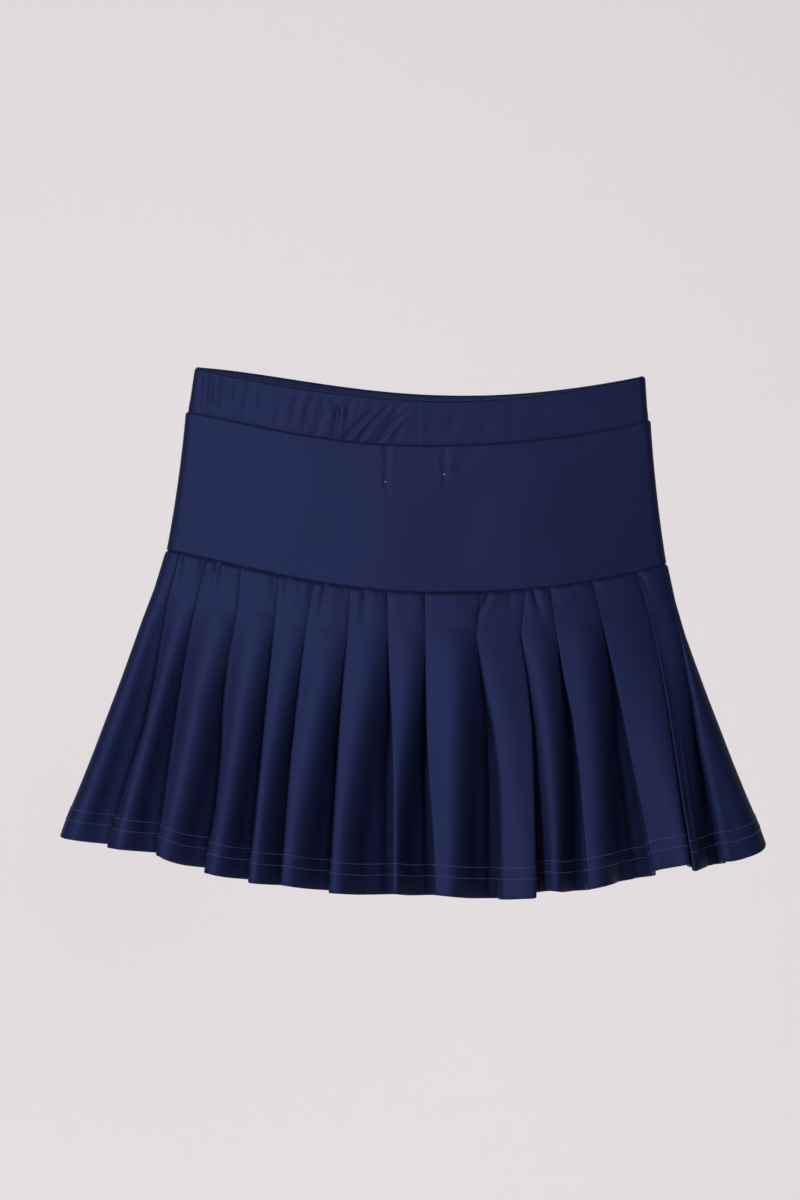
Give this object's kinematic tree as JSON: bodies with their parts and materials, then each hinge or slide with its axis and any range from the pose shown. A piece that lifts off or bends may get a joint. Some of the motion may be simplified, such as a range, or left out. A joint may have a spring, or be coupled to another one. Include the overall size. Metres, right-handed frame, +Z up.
{
  "type": "pleated cheer skirt",
  "caption": "Child's knife-pleated cheer skirt with an elastic waistband, a smooth yoke and a stitched hem, in the shape it takes hanging from its waist.",
  "frame": {"origin": "middle of the waist opening, at the height of the waistband's top edge at the middle of the back", "axes": "+Z up, against gravity as the skirt hangs; +X across the skirt, to the right when its back is looked at; -Y out of the back, the side with the label"},
  "size_m": [0.3824, 0.1134, 0.2804],
  "materials": {
    "navy_knit": "smooth fine navy stretch knit with a slight sheen",
    "thread": "polyester sewing thread, a little lighter than the cloth",
    "elastic": "matte woven elastic",
    "label_satin": "blank satin label"
  },
  "bodies": {
    "skirt_top": {"waistband_casing": "navy_knit", "waist_elastic": "elastic", "waistband_join_seam": "thread", "yoke_back": "navy_knit", "yoke_front": "navy_knit", "waist_seam_overlock": "thread", "yoke_seam_overlock": "thread", "yoke_side_seam_left": "thread", "yoke_side_seam_right": "thread", "size_label": "label_satin", "label_stitch_left": "thread", "label_stitch_right": "thread"},
    "back_flounce": {"flounce_back": "navy_knit", "hem_stitch_upper_back": "thread", "hem_stitch_lower_back": "thread", "flounce_side_seam_left": "thread", "flounce_side_seam_right": "thread"},
    "front_flounce": {"flounce_front": "navy_knit", "hem_stitch_upper_front": "thread", "hem_stitch_lower_front": "thread"}
  },
  "joints": [
    {"name": "back_flounce_lift", "type": "hinge", "parent": "skirt_top", "child": "back_flounce", "pos_m": [0, -0.0228, -0.084], "axis": [-1, 0, 0], "range_deg": [0, 60]},
    {"name": "front_flounce_lift", "type": "hinge", "parent": "skirt_top", "child": "front_flounce", "pos_m": [0, 0.0228, -0.084], "axis": [1, 0, 0], "range_deg": [0, 60]}
  ]
}
